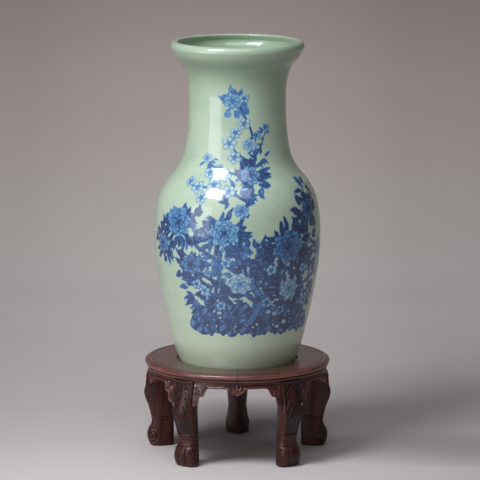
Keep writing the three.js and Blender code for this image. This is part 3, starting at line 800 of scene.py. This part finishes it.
def frame_segment(index):
    rows = frame_profile()
    slot_end = SEAT_RADIUS + TONGUE_LENGTH + JOINT_GAP
    slot_top = TONGUE_HIGH + JOINT_GAP
    slot_bottom = TONGUE_LOW - JOINT_GAP
    inner = [(r, STAND_HEIGHT) for r in np.linspace(FRAME_RADIUS - 16, SEAT_RADIUS + 2.2, 9)]
    inner += [(SEAT_RADIUS + out, STAND_HEIGHT - down) for out, down in ((1.2, 0.1), (0.35, 0.5), (0, 1.3))]
    inner += [(SEAT_RADIUS, TONGUE_HIGH + 0.5), (SEAT_RADIUS, slot_top), (slot_end, slot_top),
              (slot_end, slot_bottom), (SEAT_RADIUS, slot_bottom)]
    inner = np.array(inner + [(SEAT_RADIUS + out, FRAME_BOTTOM) for out in (0, 8, 18, 28)])
    radius = np.concatenate([FRAME_RADIUS - SKIN - rows[:, 0], inner[:, 0]])
    height = np.concatenate([FRAME_BOTTOM + rows[:, 1], inner[:, 1]])
    pearl, tone_shift = (np.concatenate([rows[:, column], np.zeros(len(inner))]) for column in (2, 3))
    half = SECTOR / 2 - JOINT_GAP / 2 / radius
    pearls = round(SECTOR * FRAME_RADIUS / PEARL_PITCH)
    share = np.linspace(-1, 1, pearls * PEARL_STEPS + 1)[:, None]
    angle = share * half
    dip = 1 - ridge(((share + 1) / 2 * pearls) % 1 * 2 - 1, 1, 1)
    around = radius - PEARL_GAP * pearl * dip
    rings = np.stack([*polar(around, angle), np.broadcast_to(height, angle.shape)], -1)
    grain = np.stack([rings[..., 1], rings[..., 0] + 37.0 * index, rings[..., 2]], -1)
    return rings, grain, np.where(pearl > 0, 0.5 - dip * 1.6, 0) + tone_shift


# A leg: a bowed face with beaded edges and leaves on the knee, and a foot that curls into a scroll

LEG_BACK = [(0.33, 0.99), (0.5, 0.91), (0.72, 0.65), (0.9, 0.36), (0.985, 0.15), (1.0, 0.0)]
LEG_ROUND = [(0.0, 0.0), (0.009, 0.26), (0.033, 0.52), (0.092, 0.82), (0.21, 0.98), *LEG_BACK]
LEG_SQUARE = [(0.0, 0.0), (0.004, 0.3), (0.014, 0.62), (0.035, 0.9), (0.1, 0.99), *LEG_BACK]


def leg_section(points):
    """(share of the depth, share of the half width) round a section, from the face's middle."""
    corner = smooth_line(points, 78)
    other = corner[1:-1][::-1] * np.array([1, -1])
    return np.concatenate([corner, other])


def leg_relief(x, y, z, half, face, front):
    """How far the carving stands over the blank's surface; it is mostly below it, so mostly negative."""
    edge = half - np.abs(y)
    rows = step_up(z, ANKLE_HEIGHT + 7, 3) * step_up(FRAME_BOTTOM - z, 4, 2)
    ground = -GROUND_DEPTH * step_up(edge, BEAD, 0.9) * rows
    down = -math.pi / 2
    top = FRAME_BOTTOM - 6
    leaves = [lobe(y, z, (0, top), down, 54, 13, GROUND_DEPTH)]
    for side in (-1, 1):
        for k, (height, length) in enumerate(KNEE_LEAVES):
            angle = down + side * (0.62 - 0.04 * k)
            leaves.append(lobe(y, z, (side * 1.6, height), angle, length, 6.4, GROUND_DEPTH * 0.85))
        leaves.append(lobe(y, z, (side * 3, top), down + side * 1.15, 12, 5.5, GROUND_DEPTH * 0.8))
    on_face = np.maximum(ground + np.maximum.reduce(leaves) * rows, -GROUND_DEPTH)
    toes = groove(np.abs(y) - half * 0.36, *TOE_GROOVE) * step_up(ANKLE_HEIGHT - 6 - z, 0, 6)
    on_face = on_face + toes + groove(z - 27.5, *NAIL_GROOVE) * (z < ANKLE_HEIGHT)
    behind = face - x
    on_side = groove(behind - 4.2, *SIDE_GROOVE) * step_up(z, ANKLE_HEIGHT + 5, 3)
    scroll = spiral((TOE - 11.5, 13.2), 10.4, math.pi * 0.62, 1.9)
    on_side = on_side + groove(away_from(scroll, x, z), *SCROLL_GROOVE) * (z < ANKLE_HEIGHT)
    relief = on_face * front + on_side * (1 - front)
    collar = groove(z - ANKLE_HEIGHT - 1.2, *COLLAR_GROOVE) + groove(z - ANKLE_HEIGHT - 5.4, *COLLAR_GROOVE)
    return relief + collar + groove(z - (FRAME_BOTTOM - 3.4), *COLLAR_GROOVE)


def leg(index):
    z = np.concatenate([[0, 0.4, 1.0], np.linspace(1.8, FRAME_BOTTOM, 142)])
    shoulder = FRAME_BOTTOM - (FRAME_BOTTOM - KNEE_HEIGHT) * 0.42
    calf = (KNEE_HEIGHT + ANKLE_HEIGHT) / 2
    rise = ANKLE_HEIGHT - TOE_HEIGHT
    face = smooth_value([
        (0, TOE - TOE_CURL), (TOE_HEIGHT * 0.4, TOE - TOE_CURL * 0.4), (TOE_HEIGHT, TOE),
        (TOE_HEIGHT + rise * 0.4, ANKLE + (TOE - ANKLE) * 0.78),
        (TOE_HEIGHT + rise * 0.7, ANKLE + (TOE - ANKLE) * 0.22),
        (ANKLE_HEIGHT, ANKLE), (calf, ANKLE + (KNEE - ANKLE) * 0.4), (KNEE_HEIGHT, KNEE),
        (shoulder, LEG_FACE + (KNEE - LEG_FACE) * 0.3), (FRAME_BOTTOM, LEG_FACE)], z) - SKIN
    back = smooth_value([
        (0, TOE - FOOT_DEPTH), (TOE_HEIGHT, TOE - FOOT_DEPTH), (ANKLE_HEIGHT, ANKLE - ANKLE_DEPTH),
        (KNEE_HEIGHT, KNEE - KNEE_DEPTH), (shoulder, LEG_FACE - SHOULDER_DEPTH),
        (FRAME_BOTTOM, LEG_FACE - SHOULDER_DEPTH)], z)
    half = smooth_value([
        (0, FOOT_WIDTH / 2 - 1), (TOE_HEIGHT * 0.6, FOOT_WIDTH / 2), (TOE_HEIGHT * 1.2, FOOT_WIDTH / 2 - 0.5),
        (ANKLE_HEIGHT, ANKLE_WIDTH / 2), (calf, ANKLE_WIDTH / 2 + (LEG_WIDTH - ANKLE_WIDTH) * 0.2),
        (KNEE_HEIGHT, LEG_WIDTH / 2)], z) - SKIN
    face, back, half, z = (line[:, None] for line in (face, back, half, z))
    squared = step_up(z, KNEE_HEIGHT + 10, 18)[..., None]
    section = leg_section(LEG_ROUND) * (1 - squared) + leg_section(LEG_SQUARE) * squared
    x = face - section[..., 0] * (face - back)
    y = section[..., 1] * half
    z = np.broadcast_to(z, x.shape)
    along = np.roll(x, -1, 1) - np.roll(x, 1, 1)
    across = np.roll(y, -1, 1) - np.roll(y, 1, 1)
    size = np.hypot(along, across) + 1e-9
    out_x, out_y = across / size, -along / size
    front = np.clip(out_x * 1.6 - 0.25, 0, 1)
    relief = leg_relief(x, y, z, half, face, front) * (out_x > -0.6)
    foot_edge = 1.2 * (1 - step_up(z, 0, 1.6))
    out = relief - foot_edge
    rings = np.stack([x + out_x * out, y + out_y * out, z], -1)
    grain = np.stack([z, y, x + 53.0 * index], -1)
    return rings, grain, relief / GROUND_DEPTH + 0.5


# An apron between two legs: a thin rail with a pendant, and a scalloped corner with a scroll at each leg

def apron_lower_edge():
    clear = APRON_FACE * math.sin(SECTOR / 2) - LEG_WIDTH / 2 * math.cos(SECTOR / 2)
    rail = APRON_TOP - APRON_RAIL
    corner = SPANDREL_DEPTH - APRON_RAIL
    pendant = [(PENDANT_DROP * aside, rail - PENDANT_DROP * down) for aside, down in
               ((0, 1), (0.45, 0.8), (0.95, 0.5), (1.3, 0.05), (1.9, 0))]
    spandrel = [(clear - SPANDREL_WIDTH * aside, rail - corner * down) for aside, down in
                ((1.35, 0), (1, 0.07), (0.72, 0.42), (0.42, 0.5), (0.3, 0.86), (0, 1))]
    half = smooth_line(pendant + spandrel, 120)
    half = np.concatenate([half, [(clear + 12, rail - corner)]])
    return np.concatenate([half[:0:-1] * np.array([-1, 1]), half]), clear


def apron_relief(x, z, edge_line, clear):
    """Vines from the scrolls to the middle, small leaves on them, and a palmette on the pendant."""
    edge = away_from(edge_line[::3], x, z)
    ground = -APRON_GROUND_DEPTH * step_up(edge, 2.0, 0.7) * step_up(APRON_TOP - z, 1.4, 0.6)
    side = np.abs(x)
    scroll = spiral((clear - 6.4, APRON_TOP - 15.5), 5.4, math.pi * 0.75, 1.6)
    vine = [(17, 3.4), (24, 4.6), (31, 3.2), (38, 4.4), (clear - 14, 5.6)]
    vine = smooth_line([*((place, APRON_TOP - drop) for place, drop in vine), tuple(scroll[0])], 40)
    raised = [ridge(away_from(scroll, side, z), 1.1, 1.2), ridge(away_from(vine, side, z), 0.9, 1.0)]
    for place, drop, angle, length, wide in (
            (clear - 9, 8, 2.5, 9, 4), (clear - 5, 22, -1.9, 10, 4.5), (clear - 3, 9, 0.9, 8, 4),
            (clear - 10, 19, -2.6, 7, 3.4), (27, 4.4, 0.5, 4.5, 2), (34, 3.6, -0.5, 4.5, 2)):
        raised.append(lobe(side, z, (place, APRON_TOP - drop), angle, length, wide, 1.1))
    for turn, length in ((0, 12), (0.62, 11), (-0.62, 11), (1.2, 10), (-1.2, 10)):
        raised.append(lobe(x, z, (0, APRON_TOP - 13.4), math.pi / 2 + turn, length, 4.4, 1.25))
    return np.minimum(ground + np.maximum.reduce(raised), 0) + groove(edge - 2.1, 0.4, 0.3)


def apron(index):
    edge_line, clear = apron_lower_edge()
    depths = [0, 0.2, 0.45, 0.75, 1.05]
    bulges = [APRON_SWELL * part for part in (0, 0.3, 0.66, 0.9, 1.0)]
    share = np.linspace(-1, 1, 241)[:, None]
    front = np.linspace(0, 1, 46)
    back = front[::-6]
    part = np.concatenate([front, np.ones(5), back, [0.0, 0.0]])  # from the top edge, 0, to the lower one, 1
    behind = np.concatenate([0 * front, np.linspace(0.1, 0.9, 5), np.ones(len(back)), [0.66, 0.33]])
    level = APRON_TOP * np.ones((len(share), len(part)))
    for _ in range(3):
        depth = (APRON_TOP - level) / SPANDREL_DEPTH
        radius = APRON_FACE + np.interp(depth, depths, bulges) - behind * APRON_THICKNESS
        angle = share * (SECTOR / 2 - np.arcsin((LEG_WIDTH / 2 + JOINT_GAP) / radius))
        x = radius * np.sin(angle)
        lowest = APRON_TOP - np.interp(x, edge_line[:, 0], edge_line[:, 1])
        level = APRON_TOP - part * lowest
    relief = apron_relief(x, level, edge_line, clear) * (behind == 0)
    soft_edge = 1.1 * (1 - step_up(lowest - (APRON_TOP - level), 0, 1.5)) * (behind == 0)
    radius = radius + relief - soft_edge
    rings = np.stack([*polar(radius, angle), level], -1)
    grain = np.stack([rings[..., 1], rings[..., 2], rings[..., 0] + 41.0 * index], -1)
    return rings, grain, relief / APRON_GROUND_DEPTH + 0.5


# Camera, light and floor

OBJECT_MIDDLE = (0, 0, 0.3)
CAMERA_PLACE = (0, -4.5, 1.07)
CAMERA_TARGET = (0.0035, AXIS_Y, 0.2865)
CAMERA_LENS = 256.6  # on a sensor 36 mm wide
LAMP_DISTANCE = 1.7
LAMP_COLOUR = (0.96, 0.99, 1.04)
LAMPS = (  # degrees to the camera's left and above the object's middle, size in metres, watts
    ("key", 44, 51, (0.6, 0.5), 18.6), ("front_top", 5, 58, (1.2, 0.6), 6),
    ("fill", 28, 32, (1.6, 1.2), 2.5), ("window", 52, 9, (0.9, 0.9), 6.6))
BACKDROP_WIDTH, BACKDROP_HEIGHT = 9.0, 3.0
BACKDROP_START, BACKDROP_BEND, BEND_STEPS = 1.1, 0.9, 24  # where the floor bends up, and its radius
FLOOR_REACH = 2.2  # from 0.2 m before the object to the wall behind it
# Painted light and shade: the paper is darker just behind the stand, lightest farther back, and darkens up
# the wall
FLOOR_PAINTED_LIGHT = [  # share of the reach, and the paper's colour there
    (0.03, (0.7, 0.65, 0.63)), (0.11, (0.63, 0.57, 0.56)), (0.2, (0.6, 0.54, 0.53)),
    (0.31, (0.645, 0.585, 0.565)), (0.42, (0.69, 0.628, 0.6)), (0.54, (0.785, 0.72, 0.69)),
    (0.66, (0.8, 0.74, 0.695)), (0.79, (0.7, 0.632, 0.58)), (0.89, (0.585, 0.492, 0.457)),
    (0.94, (0.456, 0.37, 0.34))]
# Painted shade: the paper darkens to both sides, as the light falls off there
SIDE_SHADE_FALL, SIDE_SHADE_LIMIT = 1.4, 0.16  # how fast the paper darkens to both sides, and how much at most
# Painted shadows: the stand's shadow on the floor, under it and to its right, painted into the paper's colour
PAINTED_SHADOWS = [  # ovals of the floor that stay darker: middle, reach (both x, y) and how much
    ((0.0, 0.13), (0.13, 0.2), 0.65), ((0.36, 0.0), (0.36, 0.11), 0.34)]
BLACK = (0.0, 0.0, 0.0)


def aim(piece, place, target):
    piece.location = place
    piece.rotation_euler = (Vector(target) - Vector(place)).to_track_quat("-Z", "Y").to_euler()
    bpy.context.scene.collection.objects.link(piece)


def camera():
    data = bpy.data.cameras.new("camera")
    data.sensor_width = 36
    data.lens = CAMERA_LENS
    piece = bpy.data.objects.new("camera", data)
    aim(piece, CAMERA_PLACE, CAMERA_TARGET)
    bpy.context.scene.camera = piece


def around(azimuth, elevation):
    turn, lift = math.radians(azimuth), math.radians(elevation)
    out = LAMP_DISTANCE * math.cos(lift)
    return (-out * math.sin(turn), -out * math.cos(turn), OBJECT_MIDDLE[2] + LAMP_DISTANCE * math.sin(lift))


def lamp(name, place, target, size, power):
    data = bpy.data.lights.new(name, "AREA")
    data.shape = "RECTANGLE"
    data.size, data.size_y = size
    data.energy = power
    data.color = LAMP_COLOUR
    aim(bpy.data.objects.new(name, data), place, target)


def floor_material():
    """Plain paper, clear from behind; its tone paints light and shade: it changes with the distance, fades to
    both sides and darkens in painted shadows.
    """
    paper = Shading("studio_floor")
    place = paper.put(paper.add("SeparateXYZ"), {0: paper.place}).outputs
    depth = paper.calculate("MULTIPLY_ADD", place["Y"], 1 / FLOOR_REACH, 0.2 / FLOOR_REACH)
    tone = paper.ramp(depth, FLOOR_PAINTED_LIGHT)
    # Painted shade: darker to both sides
    aside = paper.calculate("ADD", place["X"], 0.04)
    fade = paper.calculate("MULTIPLY", paper.calculate("MULTIPLY", aside, aside), SIDE_SHADE_FALL)
    tone = paper.mix(paper.calculate("MINIMUM", fade, SIDE_SHADE_LIMIT), tone, BLACK)
    # Painted shadows: each oval darkens the paper as the stand's shadow
    for middle, reach, shadow_strength in PAINTED_SHADOWS:
        near = 1.0
        for side, centre, half in zip("XY", middle, reach):
            share = paper.calculate("MULTIPLY_ADD", place[side], 1 / half, -centre / half)
            near = paper.calculate("SUBTRACT", near, paper.calculate("MULTIPLY", share, share), clamp=True)
        tone = paper.mix(paper.calculate("MULTIPLY", near, shadow_strength), tone, BLACK)
    paper.put(paper.shader, {"Base Color": tone, "Roughness": 0.75})
    behind = paper.add("NewGeometry").outputs["Backfacing"]
    seen = paper.add("LightPath").outputs["Is Camera Ray"]
    clear = paper.add("BsdfTransparent").outputs[0]
    surface = paper.put(paper.add("MixShader"), {
        0: paper.calculate("MULTIPLY", behind, seen), 1: paper.shader.outputs[0], 2: clear})
    paper.put(paper.nodes["Material Output"], {"Surface": surface.outputs[0]})
    return paper.material


def studio():
    rows = [(-6.0, 0.0), (BACKDROP_START, 0.0)]
    for k in range(1, BEND_STEPS + 1):
        angle = math.pi / 2 * k / BEND_STEPS
        rows.append((BACKDROP_START + BACKDROP_BEND * math.sin(angle), BACKDROP_BEND * (1 - math.cos(angle))))
    rows.append((BACKDROP_START + BACKDROP_BEND, BACKDROP_HEIGHT))
    vertices = [(side * BACKDROP_WIDTH / 2, y, z) for y, z in rows for side in (-1, 1)]
    faces = [(2 * i, 2 * i + 1, 2 * i + 3, 2 * i + 2) for i in range(len(rows) - 1)]
    mesh_object("studio_backdrop", vertices, faces, [floor_material()])
    world = bpy.data.worlds.new("studio")
    world.use_nodes = True
    background = world.node_tree.nodes["Background"]
    background.inputs["Color"].default_value = (0.95, 0.95, 1, 1)
    background.inputs["Strength"].default_value = 0.13
    bpy.context.scene.world = world
    for name, azimuth, elevation, size, power in LAMPS:
        lamp(name, around(azimuth, elevation), OBJECT_MIDDLE, size, power)
    lamp("backdrop_light", (-0.1, 0.9, 1.5), (-0.05, 1.5, 0.0), (1.6, 0.4), 3)
    bpy.context.scene.view_settings.view_transform = "Standard"


def hardwood(name, brightness, roughness, carved, wax=0.45):
    dark, light = times(WOOD_DARK, brightness), times(WOOD_LIGHT, brightness)
    return wood_material(name, dark, light, roughness, carved, wax)


def dress():
    plain = glaze_material("celadon_glaze", False)
    painted = glaze_material("celadon_glaze_with_blue", True)
    # The inside's glaze is darkened as painted shade
    inside = glaze_material("celadon_glaze_inside_shaded", False, 1.5)
    vase([painted, plain, inside, biscuit_material()])
    # Painted light and shade: one hardwood in copies of different brightness, lightest on the frame's top
    # edge, then the aprons, darkest on the legs
    rim = hardwood("hardwood_lit_top_edge", 3.2, 0.34, True, 0.7)
    carved = hardwood("carved_hardwood", 2.2, 0.36, True, 0.35)
    dark = hardwood("carved_hardwood_shaded_legs", 0.9, 0.38, True, 0.1)
    flat = hardwood("dark_hardwood", 1.0, 0.34, False)
    bare = wood_material("bare_wood", BARE_DARK, BARE_LIGHT, 0.6, False)
    for k in range(1, LEG_COUNT + 1):
        turn = FIRST_LEG + (k - 1) * SECTOR
        stand_piece(f"frame_edge_{k}", f"frame_segment_{k}", *frame_segment(k), rim, turn)
        stand_piece(f"carved_leg_{k}", f"leg_{k}", *leg(k), dark, turn)
        stand_piece(f"carved_apron_{k}", f"apron_{k}", *apron(k), carved, turn + SECTOR / 2)
    for name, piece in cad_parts.items():
        if name in ("top_panel", "panel_batten") or name.startswith("frame_spline"):
            piece.data.materials.clear()
            piece.data.materials.append(flat if name == "top_panel" else bare)


camera()
studio()
dress()
